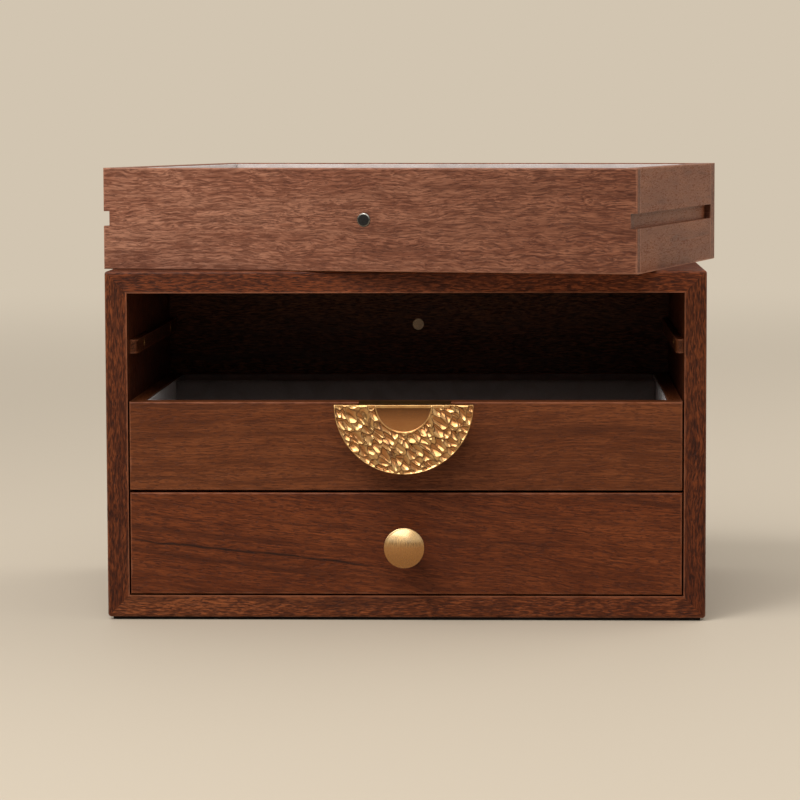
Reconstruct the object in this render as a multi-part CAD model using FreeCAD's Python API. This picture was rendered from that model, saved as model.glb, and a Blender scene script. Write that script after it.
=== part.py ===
"""Walnut jewellery box with three drawers. The top drawer is lifted out and set on the cabinet.

Millimetres. The origin is the middle of the felt base, on the surface that the box stands on.
+Z is up, +X is to the viewer's right and +Y goes back, so the drawer fronts face -Y.
A drawer is built in its own frame: x across from its middle, y back from its front face, z up
from its lower edge. It is then placed in the cabinet, or turned and placed on top.
"""
import FreeCAD, Part
import math
import os

from FreeCAD import Placement, Rotation, Vector

# Cabinet
CABINET_WIDTH = 300.0
CABINET_DEPTH = 200.0
WALL = 11.0
OUTER_ROUND = 1.5
BACK_THICK = 8.0
BACK_REBATE = 5.0
FELT_THICK = 1.5
FELT_INSET = 2.0

# Loose tongues across the mitres
SPLINE_WIDTH = 7.2
SPLINE_THICK = 2.4
SPLINE_SHIFT = 0.8
SPLINE_STOP = 12.0

# Clearances. FIT is between pieces that are fixed to each other
FIT = 0.05
SIDE_GAP = 0.8
UNDER_GAP = 0.8
DRAWER_GAP = 1.2
OVER_GAP = 2.0
CATCH_GAP = 1.0
HANG_GAP = 0.1

# Drawers
TOP_HEIGHT = 51.2
MIDDLE_HEIGHT = 44.4
BOTTOM_HEIGHT = 51.2
FRONT_THICK = 11.0
BOARD_THICK = 7.0
DRAWER_ROUND = 0.8
PANEL_THICK = 3.0
PANEL_RISE = 2.0
PANEL_REACH = 3.0
DOWEL_RADIUS = 1.8
DOWEL_INSET = 10.0
DOWEL_IN_SIDE = 12.0
DOWEL_IN_FRONT = 6.0
DOWEL_IN_BACK = 4.0

# Runners on the cabinet's walls and the grooves that hang on them
RUNNER_HEIGHT = 7.0
RUNNER_SEAT = 2.5
RUNNER_REACH = 2.9
RUNNER_SETBACK = 12.0
RUNNER_NOSE = 3.0
RUNNER_SCREW_INSET = 30.0
GROOVE_HEIGHT = 7.4
GROOVE_DEPTH = 3.3

# Magnetic catch
MAGNET_RADIUS = 3.1
MAGNET_THICK = 3.0
DISC_RADIUS = 3.35
DISC_THICK = 3.6
DISC_PROUD = 0.6
DISC_ROUND = 0.45

# Velvet
LINING_THICK = 1.0
LINING_DROP = 0.4
PAD_THICK = 2.0
PAD_ROUND = 0.6
DIVIDER_THICK = 4.0
DIVIDER_ROUND = 1.2
REAR_CELL_DEPTH = 38.0
RING_BAY_WIDTH = 96.0
LOW_DIVIDER_DROP = 9.0
CELL_COLUMNS = 2
CELL_ROWS = 3
RING_ROLLS = 7
ROLL_GAP = 0.6
ROLL_DROP = 13.0
ROLL_CROWN = 8.0
ROLL_END_ROUND = 2.5

# Half-moon pulls
PULL_RADIUS = 34.5
PULL_INNER_RADIUS = 13.8
PULL_INNER_DEPTH = 0.4
PULL_THICK = 1.6
PULL_REACH = 18.0
PULL_BEND = 0.8
FLANGE_WIDTH = 46.0
FLANGE_SEAT = 9.0
FLANGE_SCREW_SPACING = 28.0

# Knob, as radii and as distances from the drawer's face
KNOB_RADIUS = 10.1
KNOB_REACH = 20.0
KNOB_CROWN = 2.4
KNOB_RIM = 1.8
KNOB_FLARE = 3.4
KNOB_FLARE_BULGE = 1.2
KNOB_NECK_RADIUS = 4.0
KNOB_BASE_RADIUS = 6.0
KNOB_BASE_THICK = 1.6
KNOB_BASE_SLOPE = 1.0
KNOB_TAP_DEPTH = 10.0

# Screws: head radius, head height, shank radius, length
RUNNER_SCREW = (2.7, 1.7, 1.45, 12.0)
PULL_SCREW = (2.3, 1.3, 1.1, 10.0)
KNOB_SCREW_HEAD = 3.6
KNOB_SCREW_HEAD_THICK = 2.4
KNOB_SCREW_RADIUS = 2.0
KNOB_SCREW_GRIP = 8.0
SCREW_EDGE = 0.2
RECESS_SHARE = 0.62
RECESS_WIDTH = 0.7
RECESS_DEPTH = 0.9

# Where the top drawer stands on the cabinet
STACK_TURN = 14.4
STACK_X = 4.0
STACK_Y = -15.6

# How far a cut runs past the face that it opens, and how exactly an edge's place is matched
OVERCUT = 1.0
MATCH = 1e-4

# Worked out from the sizes above
drawer_width = CABINET_WIDTH - 2 * (WALL + SIDE_GAP)
drawer_depth = CABINET_DEPTH - BACK_THICK - CATCH_GAP
bay_height = (UNDER_GAP + BOTTOM_HEIGHT + DRAWER_GAP + MIDDLE_HEIGHT + DRAWER_GAP
              + TOP_HEIGHT + OVER_GAP)
cabinet_height = bay_height + 2 * WALL
front_y = -CABINET_DEPTH / 2
bottom_z = FELT_THICK + WALL + UNDER_GAP
middle_z = bottom_z + BOTTOM_HEIGHT + DRAWER_GAP
top_z = middle_z + MIDDLE_HEIGHT + DRAWER_GAP
cabinet_top_z = FELT_THICK + cabinet_height
wall_inside = CABINET_WIDTH / 2 - WALL
board_inside = drawer_width / 2 - BOARD_THICK
room_half_width = board_inside - LINING_THICK
room_front = FRONT_THICK + LINING_THICK
room_back = drawer_depth - BOARD_THICK - LINING_THICK
panel_top = PANEL_RISE + PANEL_THICK
floor_z = panel_top + PAD_THICK

X_AXIS = Vector(1, 0, 0)
Y_AXIS = Vector(0, 1, 0)
Z_AXIS = Vector(0, 0, 1)


def box(x, y, z):
    """A box from three (low, high) pairs."""
    return Part.makeBox(x[1] - x[0], y[1] - y[0], z[1] - z[0], Vector(x[0], y[0], z[0]))


def rod(radius, start, direction, length):
    return Part.makeCylinder(radius, length, start, direction)


def moved(shape, x=0.0, y=0.0, z=0.0):
    return shape.translated(Vector(x, y, z))


def mirrored_x(shape):
    return shape.mirror(Vector(0, 0, 0), X_AXIS)


def prism_along_y(points, y):
    """A prism with the given (x, z) corners, between the two values of y."""
    corners = [Vector(x, y[0], z) for x, z in points]
    face = Part.Face(Part.makePolygon(corners + corners[:1]))
    return face.extrude(Vector(0, y[1] - y[0], 0))


def edges_at(shape, axis, value):
    """The edges that lie in the plane where the axis has that value."""
    low, high = axis + "Min", axis + "Max"
    return [edge for edge in shape.Edges
            if abs(getattr(edge.BoundBox, low) - value) < MATCH
            and abs(getattr(edge.BoundBox, high) - value) < MATCH]


def screw(size):
    """A countersunk screw with its head's flat at z = 0 and its shank down -Z."""
    head_radius, head_height, shank_radius, length = size
    outline = [(0, 0), (head_radius, 0), (head_radius, -SCREW_EDGE), (shank_radius, -head_height),
               (shank_radius, -length + shank_radius), (0, -length)]
    wire = Part.makePolygon([Vector(r, 0, z) for r, z in outline + outline[:1]])
    body = Part.Face(wire).revolve(Vector(0, 0, 0), Z_AXIS, 360)
    arm, half = head_radius * RECESS_SHARE, RECESS_WIDTH / 2
    for x, y in ((arm, half), (half, arm)):
        body = body.cut(box((-x, x), (-y, y), (-RECESS_DEPTH, OVERCUT)))
    return body


def screw_hole(size):
    """What a countersunk screw takes out of the wood, a little larger all round."""
    head_radius, head_height, shank_radius, length = size
    hole = rod(shank_radius + FIT, Vector(0, 0, -length - FIT), Z_AXIS, length + OVERCUT)
    sink = Part.makeCone(shank_radius + FIT, head_radius + FIT, head_height - SCREW_EDGE,
                         Vector(0, 0, -head_height - FIT), Z_AXIS)
    mouth = rod(head_radius + FIT, Vector(0, 0, -SCREW_EDGE - FIT), Z_AXIS, OVERCUT)
    return hole.fuse([sink, mouth])


def pointing(shape, direction, at):
    """Turns a shape built along +Z to point in a direction and puts its origin at a place."""
    turned = shape.copy()
    turned.Placement = Placement(at, Rotation(Z_AXIS, direction))
    return turned


# Cabinet

def cabinet_shell():
    """The four boards as one rounded box, with the bay and the back's rebate taken out."""
    half_width, half_depth = CABINET_WIDTH / 2, CABINET_DEPTH / 2
    block = box((-half_width, half_width), (-half_depth, half_depth), (FELT_THICK, cabinet_top_z))
    block = block.makeFillet(OUTER_ROUND, block.Edges)
    bay = box((-wall_inside, wall_inside), (-half_depth - OVERCUT, half_depth + OVERCUT),
              (FELT_THICK + WALL, cabinet_top_z - WALL))
    return block.cut([bay, back_panel_block(0.0)])


def back_panel_block(clearance):
    """The back panel's outline, smaller than its rebate by the clearance on each edge."""
    reach = BACK_REBATE - clearance
    back_y = CABINET_DEPTH / 2
    return box((-wall_inside - reach, wall_inside + reach), (back_y - BACK_THICK, back_y),
               (FELT_THICK + WALL - reach, cabinet_top_z - WALL + reach))


def mitre_wedges():
    """The room of each board between its two mitres, as prisms that meet at the corners."""
    left, right = -CABINET_WIDTH / 2, CABINET_WIDTH / 2
    low, high = FELT_THICK, cabinet_top_z
    deep = WALL + OVERCUT
    inner = {"left": left + deep, "right": right - deep, "low": low + deep, "high": high - deep}
    span = (-CABINET_DEPTH / 2 - OVERCUT, CABINET_DEPTH / 2 + OVERCUT)
    return {
        "cabinet_top": prism_along_y([(left, high), (right, high), (inner["right"], inner["high"]),
                                      (inner["left"], inner["high"])], span),
        "cabinet_bottom": prism_along_y([(left, low), (right, low), (inner["right"], inner["low"]),
                                         (inner["left"], inner["low"])], span),
        "cabinet_left_side": prism_along_y([(left, low), (left, high),
                                            (inner["left"], inner["high"]),
                                            (inner["left"], inner["low"])], span),
        "cabinet_right_side": prism_along_y([(right, low), (right, high),
                                             (inner["right"], inner["high"]),
                                             (inner["right"], inner["low"])], span),
    }


def splines(clearance):
    """The four tongues, or with a negative clearance the slots that they sit in."""
    length = CABINET_DEPTH - BACK_THICK - 2 * SPLINE_STOP - 2 * clearance
    half_width, half_thick = SPLINE_WIDTH / 2 - clearance, SPLINE_THICK / 2 - clearance
    tongue = box((-half_width, half_width), (0, length), (-half_thick, half_thick))
    along = WALL / 2 + SPLINE_SHIFT / math.sqrt(2)
    made = []
    for side in (-1, 1):
        for z, up in ((FELT_THICK + along, 1), (cabinet_top_z - along, -1)):
            piece = tongue.copy()
            place = Vector(side * (CABINET_WIDTH / 2 - along), front_y + SPLINE_STOP + clearance, z)
            piece.Placement = Placement(place, Rotation(Y_AXIS, -45 * side * up))
            made.append(piece)
    return made


def runner_span(drawer_z, height):
    """The runner's low and high edge for a drawer at that height in the cabinet."""
    high = drawer_z + height / 2 + GROOVE_HEIGHT / 2 - HANG_GAP
    return high - RUNNER_HEIGHT, high


def runner_block(drawer_z, height, clearance):
    """The right-hand runner before it is shaped, or its housing with a negative clearance."""
    low, high = runner_span(drawer_z, height)
    return box((wall_inside - SIDE_GAP - RUNNER_REACH, wall_inside + RUNNER_SEAT - clearance),
               (front_y + RUNNER_SETBACK + clearance, CABINET_DEPTH / 2 - BACK_THICK - clearance),
               (low + clearance, high - clearance))


def runner_screw_places(drawer_z, height):
    low, high = runner_span(drawer_z, height)
    x = wall_inside - SIDE_GAP - RUNNER_REACH
    ends = (front_y + RUNNER_SETBACK + RUNNER_SCREW_INSET,
            CABINET_DEPTH / 2 - BACK_THICK - RUNNER_SCREW_INSET)
    return [Vector(x, y, (low + high) / 2) for y in ends]


def runner(drawer_z, height):
    """The right-hand runner, with a rounded nose that leads the drawer's groove onto it."""
    strip = runner_block(drawer_z, height, FIT)
    nose = [edge for edge in edges_at(strip, "X", wall_inside - SIDE_GAP - RUNNER_REACH)
            if abs(edge.BoundBox.YMax - (front_y + RUNNER_SETBACK + FIT)) < MATCH]
    strip = strip.makeFillet(RUNNER_NOSE, nose)
    for place in runner_screw_places(drawer_z, height):
        strip = strip.cut(pointing(screw_hole(RUNNER_SCREW), -X_AXIS, place))
    return strip


def catch_hole(radius, thick, direction, at):
    """The blind hole of a magnet or disc, which opens in that direction at that place."""
    return rod(radius + FIT, at - direction * (thick + FIT), direction, thick + OVERCUT)


def build_cabinet():
    shell = cabinet_shell()
    slots = splines(-FIT)
    drawers = [("top", top_z, TOP_HEIGHT), ("middle", middle_z, MIDDLE_HEIGHT),
               ("bottom", bottom_z, BOTTOM_HEIGHT)]
    made = {name: shell.common(wedge).cut(slots) for name, wedge in mitre_wedges().items()}
    screws = []
    housings = []
    for name, z, height in drawers:
        strip = runner(z, height)
        made[name + "_runner_right"] = strip
        made[name + "_runner_left"] = mirrored_x(strip)
        housings.append(runner_block(z, height, 0.0))
        for place in runner_screw_places(z, height):
            housings.append(pointing(screw_hole(RUNNER_SCREW), -X_AXIS, place))
            screws.append(pointing(screw(RUNNER_SCREW), -X_AXIS, place))
    for side, cuts in (("right", housings), ("left", [mirrored_x(cut) for cut in housings])):
        made["cabinet_%s_side" % side] = made["cabinet_%s_side" % side].cut(cuts)
    made["runner_screws"] = Part.makeCompound(screws + [mirrored_x(one) for one in screws])
    made["mitre_splines"] = Part.makeCompound(splines(0.0))

    back = back_panel_block(FIT)
    magnets = []
    for name, z, height in drawers:
        mouth = Vector(0, CABINET_DEPTH / 2 - BACK_THICK, z + height / 2)
        back = back.cut(catch_hole(MAGNET_RADIUS, MAGNET_THICK, -Y_AXIS, mouth))
        magnets.append(rod(MAGNET_RADIUS, mouth, Y_AXIS, MAGNET_THICK))
    made["cabinet_back"] = back
    made["catch_magnets"] = Part.makeCompound(magnets)

    made["base_felt"] = box((-CABINET_WIDTH / 2 + FELT_INSET, CABINET_WIDTH / 2 - FELT_INSET),
                            (-CABINET_DEPTH / 2 + FELT_INSET, CABINET_DEPTH / 2 - FELT_INSET),
                            (0, FELT_THICK))
    return made


# Drawers, each in its own frame

def panel_block(clearance):
    """The drawer's bottom panel, smaller than its grooves by the clearance."""
    reach = PANEL_REACH - clearance
    return box((-board_inside - reach, board_inside + reach),
               (FRONT_THICK - reach, drawer_depth - BOARD_THICK + reach),
               (PANEL_RISE + clearance, panel_top))


def dowels(height, clearance):
    """Four dowels at the front joints and four at the back ones."""
    radius = DOWEL_RADIUS - clearance
    back_joint = drawer_depth - BOARD_THICK
    made = []
    for x in (-drawer_width / 2 + BOARD_THICK / 2, drawer_width / 2 - BOARD_THICK / 2):
        for z in (DOWEL_INSET, height - DOWEL_INSET):
            made.append(rod(radius, Vector(x, FRONT_THICK - DOWEL_IN_FRONT + clearance, z), Y_AXIS,
                            DOWEL_IN_FRONT + DOWEL_IN_SIDE - 2 * clearance))
            made.append(rod(radius, Vector(x, back_joint - DOWEL_IN_SIDE + clearance, z), Y_AXIS,
                            DOWEL_IN_SIDE + DOWEL_IN_BACK - 2 * clearance))
    return made


def wall_lining(height):
    """Four velvet-covered cards, from the bottom panel to just under the rim."""
    z = (panel_top, height - LINING_DROP)
    half_width = board_inside - FIT
    front = box((-half_width, half_width), (FRONT_THICK + FIT, room_front), z)
    back = box((-half_width, half_width), (room_back, room_back + LINING_THICK - FIT), z)
    right = box((room_half_width, half_width), (room_front, room_back), z)
    return [front, back, right, mirrored_x(right)]


def floor_pad():
    pad = box((-room_half_width + FIT, room_half_width - FIT),
              (room_front + FIT, room_back - FIT), (panel_top, floor_z))
    return pad.makeFillet(PAD_ROUND, edges_at(pad, "Z", floor_z))


def divider(x, y, top):
    """A velvet-covered board on the floor pad, with its top edges rounded."""
    board = box(x, y, (floor_z, top))
    across_x = x[1] - x[0] > y[1] - y[0]
    long_edges = [edge for edge in edges_at(board, "Z", top)
                  if (edge.BoundBox.XLength > edge.BoundBox.YLength) == across_x]
    return board.makeFillet(DIVIDER_ROUND, long_edges)


def drawer_box(name, height):
    """The wooden box of a drawer with its lining, floor pad and catch disc."""
    half_width = drawer_width / 2
    groove_z = ((height - GROOVE_HEIGHT) / 2, (height + GROOVE_HEIGHT) / 2)
    joints = dowels(height, 0.0) + [panel_block(0.0)]
    groove = box((half_width - GROOVE_DEPTH, half_width + OVERCUT),
                 (FRONT_THICK, drawer_depth + OVERCUT), groove_z)
    mouth = Vector(0, drawer_depth, height / 2)

    front = box((-half_width, half_width), (0, FRONT_THICK), (0, height))
    front = front.makeFillet(DRAWER_ROUND, edges_at(front, "Y", 0))
    back = box((-half_width, half_width), (drawer_depth - BOARD_THICK, drawer_depth), (0, height))
    back = back.makeFillet(DRAWER_ROUND, edges_at(back, "Y", drawer_depth))
    side = box((board_inside, half_width), (FRONT_THICK, drawer_depth - BOARD_THICK), (0, height))
    side = side.cut([groove] + joints)

    disc = rod(DISC_RADIUS, mouth - Y_AXIS * (DISC_THICK - DISC_PROUD), Y_AXIS, DISC_THICK)
    disc = disc.makeFillet(DISC_ROUND, edges_at(disc, "Y", drawer_depth + DISC_PROUD))
    disc_hole = catch_hole(DISC_RADIUS, DISC_THICK - DISC_PROUD, Y_AXIS, mouth)
    return {
        name + "_front": front.cut(joints),
        name + "_back": back.cut([groove, mirrored_x(groove), disc_hole] + joints),
        name + "_right_side": side,
        name + "_left_side": mirrored_x(side),
        name + "_bottom": panel_block(FIT),
        name + "_dowels": Part.makeCompound(dowels(height, FIT)),
        name + "_wall_lining": Part.makeCompound(wall_lining(height)),
        name + "_floor_pad": floor_pad(),
        name + "_catch_disc": disc,
    }


def half_moon_pull():
    """A pull that hangs from z = 0: half-moon plate in front, and a flange back to the wood."""
    face_y = -PULL_REACH
    lower_half = box((-PULL_RADIUS, PULL_RADIUS), (face_y - OVERCUT, 0), (-PULL_RADIUS, 0))
    plate = rod(PULL_RADIUS, Vector(0, face_y, 0), Y_AXIS, PULL_THICK).common(lower_half)
    flange = box((-FLANGE_WIDTH / 2, FLANGE_WIDTH / 2), (face_y, FLANGE_SEAT), (-PULL_THICK, 0))
    pull = plate.fuse(flange).removeSplitter()
    front_top = [edge for edge in edges_at(pull, "Z", 0)
                 if abs(edge.BoundBox.YMax - face_y) < MATCH]
    pull = pull.makeFillet(PULL_BEND, front_top)
    dish = rod(PULL_INNER_RADIUS, Vector(0, face_y - OVERCUT, 0), Y_AXIS,
               PULL_INNER_DEPTH + OVERCUT)
    pull = pull.cut(dish)
    for place in flange_screw_places():
        pull = pull.cut(moved(screw_hole(PULL_SCREW), place.x, place.y, place.z))
    return pull


def flange_screw_places():
    return [Vector(side * FLANGE_SCREW_SPACING / 2, FRONT_THICK / 2, 0) for side in (-1, 1)]


def pull_parts(at_top, height):
    """Pull, screws and what they take out of the front board, at its top or its lower edge."""
    pull = half_moon_pull()
    places = flange_screw_places()
    screws = [moved(screw(PULL_SCREW), place.x, place.y, place.z) for place in places]
    seat = box((-FLANGE_WIDTH / 2 - FIT, FLANGE_WIDTH / 2 + FIT), (-OVERCUT, FLANGE_SEAT + FIT),
               (-PULL_THICK - FIT, OVERCUT))
    holes = [moved(screw_hole(PULL_SCREW), place.x, place.y, place.z) for place in places]
    parts = [pull, Part.makeCompound(screws), Part.makeCompound([seat] + holes)]
    if at_top:
        return [moved(shape, z=height) for shape in parts]
    return [shape.mirror(Vector(0, 0, 0), Z_AXIS) for shape in parts]


def knob(height):
    """A round knob turned about an axis that points out of the drawer's front."""
    rim_low = KNOB_REACH - KNOB_CROWN - KNOB_RIM
    rim_high = KNOB_REACH - KNOB_CROWN
    flare_low = rim_low - KNOB_FLARE
    ball = (KNOB_RADIUS ** 2 + KNOB_CROWN ** 2) / (2 * KNOB_CROWN)
    half_angle = math.asin(KNOB_RADIUS / ball) / 2
    crown_mid = Vector(ball * math.sin(half_angle), 0,
                       KNOB_REACH - ball * (1 - math.cos(half_angle)))
    corner = [Vector(r, 0, z) for r, z in (
        (0, 0), (KNOB_BASE_RADIUS, 0), (KNOB_BASE_RADIUS, KNOB_BASE_THICK),
        (KNOB_NECK_RADIUS, KNOB_BASE_THICK + KNOB_BASE_SLOPE), (KNOB_NECK_RADIUS, flare_low))]
    rim = [Vector(KNOB_RADIUS, 0, rim_low), Vector(KNOB_RADIUS, 0, rim_high)]
    tip = Vector(0, 0, KNOB_REACH)
    chord = rim[0] - corner[-1]
    outward = Vector(chord.z, 0, -chord.x).normalize()
    flare_mid = (corner[-1] + rim[0]) / 2 + outward * KNOB_FLARE_BULGE
    edges = [Part.makeLine(a, b) for a, b in zip(corner, corner[1:])]
    edges.append(Part.Arc(corner[-1], flare_mid, rim[0]).toShape())
    edges.append(Part.makeLine(rim[0], rim[1]))
    edges.append(Part.Arc(rim[1], crown_mid, tip).toShape())
    edges.append(Part.makeLine(tip, corner[0]))
    body = Part.Face(Part.Wire(edges)).revolve(Vector(0, 0, 0), Z_AXIS, 360)
    body = body.cut(rod(KNOB_SCREW_RADIUS + FIT, Vector(0, 0, -OVERCUT), Z_AXIS,
                        KNOB_TAP_DEPTH + OVERCUT))
    return pointing(body, -Y_AXIS, Vector(0, 0, height / 2))


def knob_screw(height, clearance):
    """The machine screw that holds the knob from inside, or with a negative clearance its hole."""
    shoulder = Vector(0, FRONT_THICK - KNOB_SCREW_HEAD_THICK + clearance, height / 2)
    head = rod(KNOB_SCREW_HEAD - clearance, shoulder, Y_AXIS, KNOB_SCREW_HEAD_THICK - 2 * clearance)
    shank = rod(KNOB_SCREW_RADIUS - clearance, shoulder, -Y_AXIS,
                FRONT_THICK - KNOB_SCREW_HEAD_THICK + KNOB_SCREW_GRIP)
    return head.fuse(shank)


def ring_roll(x, y, top):
    """A soft roll along x with a crowned top."""
    low, shoulder = floor_z, top - ROLL_CROWN
    crown = Vector(x[0], (y[0] + y[1]) / 2, top)
    corners = [Vector(x[0], y[1], shoulder), Vector(x[0], y[1], low),
               Vector(x[0], y[0], low), Vector(x[0], y[0], shoulder)]
    edges = [Part.makeLine(a, b) for a, b in zip(corners, corners[1:])]
    edges.append(Part.Arc(corners[-1], crown, corners[0]).toShape())
    roll = Part.Face(Part.Wire(edges)).extrude(Vector(x[1] - x[0], 0, 0))
    end_edges = [edge for end in x for edge in edges_at(roll, "X", end)
                 if edge.BoundBox.ZMax > low + MATCH]
    return roll.makeFillet(ROLL_END_ROUND, end_edges)


def top_drawer_inserts():
    """Ring rolls on one side, and low dividers that make cells on the other."""
    rim = TOP_HEIGHT - LINING_DROP
    divider_top = rim - LOW_DIVIDER_DROP
    roll_start = room_half_width - RING_BAY_WIDTH
    ring_x = (roll_start - DIVIDER_THICK, roll_start)
    cells_x = (-room_half_width, ring_x[0])
    column = (cells_x[1] - cells_x[0] - (CELL_COLUMNS - 1) * DIVIDER_THICK) / CELL_COLUMNS
    row = (room_back - room_front - (CELL_ROWS - 1) * DIVIDER_THICK) / CELL_ROWS
    whole_y = (room_front, room_back)
    columns = [cells_x[0] + i * (column + DIVIDER_THICK) for i in range(CELL_COLUMNS)]
    column_dividers = [divider((x - DIVIDER_THICK, x), whole_y, divider_top) for x in columns[1:]]
    row_dividers = []
    for x in columns:
        for i in range(1, CELL_ROWS):
            y = room_front + i * (row + DIVIDER_THICK)
            row_dividers.append(divider((x, x + column), (y - DIVIDER_THICK, y), divider_top))
    pitch = (room_back - room_front) / RING_ROLLS
    rolls = [ring_roll((roll_start + ROLL_GAP, room_half_width - ROLL_GAP),
                       (room_front + i * pitch + ROLL_GAP / 2,
                        room_front + (i + 1) * pitch - ROLL_GAP / 2), rim - ROLL_DROP)
             for i in range(RING_ROLLS)]
    return {
        "ring_divider": divider(ring_x, whole_y, divider_top),
        "column_divider": Part.makeCompound(column_dividers),
        "row_dividers": Part.makeCompound(row_dividers),
        "ring_rolls": Part.makeCompound(rolls),
    }


def build_top_drawer():
    made = drawer_box("top_drawer", TOP_HEIGHT)
    pull, screws, taken = pull_parts(False, TOP_HEIGHT)
    made["top_drawer_front"] = made["top_drawer_front"].cut(taken.SubShapes)
    made["top_drawer_pull"] = pull
    made["top_drawer_pull_screws"] = screws
    made.update(top_drawer_inserts())
    return made


def build_middle_drawer():
    made = drawer_box("middle_drawer", MIDDLE_HEIGHT)
    pull, screws, taken = pull_parts(True, MIDDLE_HEIGHT)
    made["middle_drawer_front"] = made["middle_drawer_front"].cut(taken.SubShapes)
    made["middle_drawer_pull"] = pull
    made["middle_drawer_pull_screws"] = screws
    back_face = room_back - REAR_CELL_DEPTH
    made["middle_drawer_cross_divider"] = divider(
        (-room_half_width, room_half_width), (back_face - DIVIDER_THICK, back_face),
        MIDDLE_HEIGHT - LINING_DROP)
    return made


def build_bottom_drawer():
    made = drawer_box("bottom_drawer", BOTTOM_HEIGHT)
    made["bottom_drawer_front"] = made["bottom_drawer_front"].cut(knob_screw(BOTTOM_HEIGHT, -FIT))
    made["bottom_drawer_knob"] = knob(BOTTOM_HEIGHT)
    made["bottom_drawer_knob_screw"] = knob_screw(BOTTOM_HEIGHT, 0.0)
    return made


# Places of the drawers

def in_cabinet(z):
    return Placement(Vector(0, front_y, z), Rotation())


def on_cabinet():
    """Back to front and turned a little, about the drawer's middle."""
    turn = Rotation(Z_AXIS, 180 - STACK_TURN)
    middle = Vector(0, drawer_depth / 2, 0)
    return Placement(Vector(STACK_X, STACK_Y, cabinet_top_z) - turn.multVec(middle), turn)


def placed(made, placement):
    return {name: shape.transformed(placement.toMatrix()) for name, shape in made.items()}


nodes = build_cabinet()
nodes.update(placed(build_top_drawer(), on_cabinet()))
nodes.update(placed(build_middle_drawer(), in_cabinet(middle_z)))
nodes.update(placed(build_bottom_drawer(), in_cabinet(bottom_z)))

os.makedirs("parts", exist_ok=True)
for name, shape in nodes.items():
    if not shape.isValid() or not shape.Solids:
        raise ValueError("%s is not a sound solid" % name)
    shape.exportStep("parts/%s.step" % name)
print(len(nodes), "nodes,", sum(len(shape.Solids) for shape in nodes.values()), "solids")
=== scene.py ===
"""Looks of a walnut jewellery box: two drawers in a mitred cabinet and a third drawer on top of it.

Everything is in metres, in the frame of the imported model: +Z up, +X to the viewer's right, and the
drawer fronts face -Y. A drawer's own frame has x across from its middle, y back from its front
face and z up from its lower edge.
"""
import math
from functools import partialmethod

import bmesh
import bpy
from bpy.props import FloatProperty, FloatVectorProperty, IntProperty, PointerProperty
from mathutils import Matrix, Vector, noise


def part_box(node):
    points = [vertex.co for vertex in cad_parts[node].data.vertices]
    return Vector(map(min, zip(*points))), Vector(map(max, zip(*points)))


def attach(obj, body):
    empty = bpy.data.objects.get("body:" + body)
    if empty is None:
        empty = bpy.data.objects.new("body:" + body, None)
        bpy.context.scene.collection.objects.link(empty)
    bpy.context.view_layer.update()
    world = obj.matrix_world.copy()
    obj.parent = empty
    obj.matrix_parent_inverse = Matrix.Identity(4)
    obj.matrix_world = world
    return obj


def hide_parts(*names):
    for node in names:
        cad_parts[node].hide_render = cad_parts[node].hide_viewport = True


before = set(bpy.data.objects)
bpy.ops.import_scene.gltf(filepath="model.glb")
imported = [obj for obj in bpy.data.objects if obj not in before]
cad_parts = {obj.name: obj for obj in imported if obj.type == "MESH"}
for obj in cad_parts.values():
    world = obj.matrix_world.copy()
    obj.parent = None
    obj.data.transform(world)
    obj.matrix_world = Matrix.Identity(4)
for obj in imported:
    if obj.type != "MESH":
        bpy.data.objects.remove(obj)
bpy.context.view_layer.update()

bl_info = {
    "name": "Walnut Jewellery Box",
    "version": (1, 0, 0),
    "blender": (4, 5, 0),
    "location": "View3D > Sidebar > Jewellery Box",
    "description": "Finishes and soft linings of a walnut jewellery box with three drawers",
    "category": "Add Mesh",
}

MM = 0.001
DRAWERS = ("top_drawer", "middle_drawer", "bottom_drawer")
WALLS = ("front", "back", "left_side", "right_side")
STACK_TURN = math.radians(14.4)
FULL_TURN = 2 * math.pi
QUARTER_TURN = math.pi / 2
ORIGIN = (0.0, 0.0, 0.0)


def colour(*channels):
    """Scene colour of a display colour with channels up to 255."""
    shares = [channel / 255 for channel in channels]
    return tuple(value / 12.92 if value <= 0.04045 else ((value + 0.055) / 1.055) ** 2.4
                 for value in shares)


def shaded(tone, shade):
    return [a * b for a, b in zip(tone, shade)]


# Settings that a user would change


def number(name, default, description, **more):
    return FloatProperty(name=name, default=default, description=description, **more)


def size(*words):
    return number(*words, min=0.0, unit="LENGTH", precision=5)


def share(*words):
    return number(*words, min=0.0, max=1.0, subtype="FACTOR")


def paint(name, channels, description):
    return FloatVectorProperty(name=name, default=colour(*channels), description=description,
                               size=3, min=0.0, max=1.0, subtype="COLOR")


class WalnutSettings(bpy.types.PropertyGroup):
    """Colours and figure of the walnut."""
    dark: paint("Dark Wood", (46, 19, 7), "Late wood and pores")
    middle: paint("Middle Wood", (98, 48, 19), "Most of the cabinet's wood")
    light: paint("Light Wood", (130, 72, 38), "Early wood")
    pale_dark: paint("Pale Board Dark", (74, 38, 24), "Late wood of the lifted drawer")
    pale_middle: paint("Pale Board Middle", (128, 78, 56), "Wood of the lifted drawer")
    pale_light: paint("Pale Board Light", (158, 106, 80), "Early wood of the lifted drawer")
    ring_gap: size("Ring Spacing", 7 * MM, "Distance between growth rings")
    pore_length: size("Pore Length", 4 * MM, "Length of the pores along the grain")
    pore_width: size("Pore Width", 0.28 * MM, "Width of a pore")
    pore_depth: size("Pore Depth", 0.12 * MM, "Depth of the pores under the oil finish")
    gloss: share("Roughness", 0.42, "Roughness of the oiled surface between the pores")
    # The boards' lighter edges are partly wear and partly a painted highlight along the edges
    edge_highlight_width: size("Worn Edge", 0.9 * MM, "Width of the lighter wood along a board's edges")
    worn: share("Wear", 0.68, "How much lighter the boards' edges are")


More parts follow.
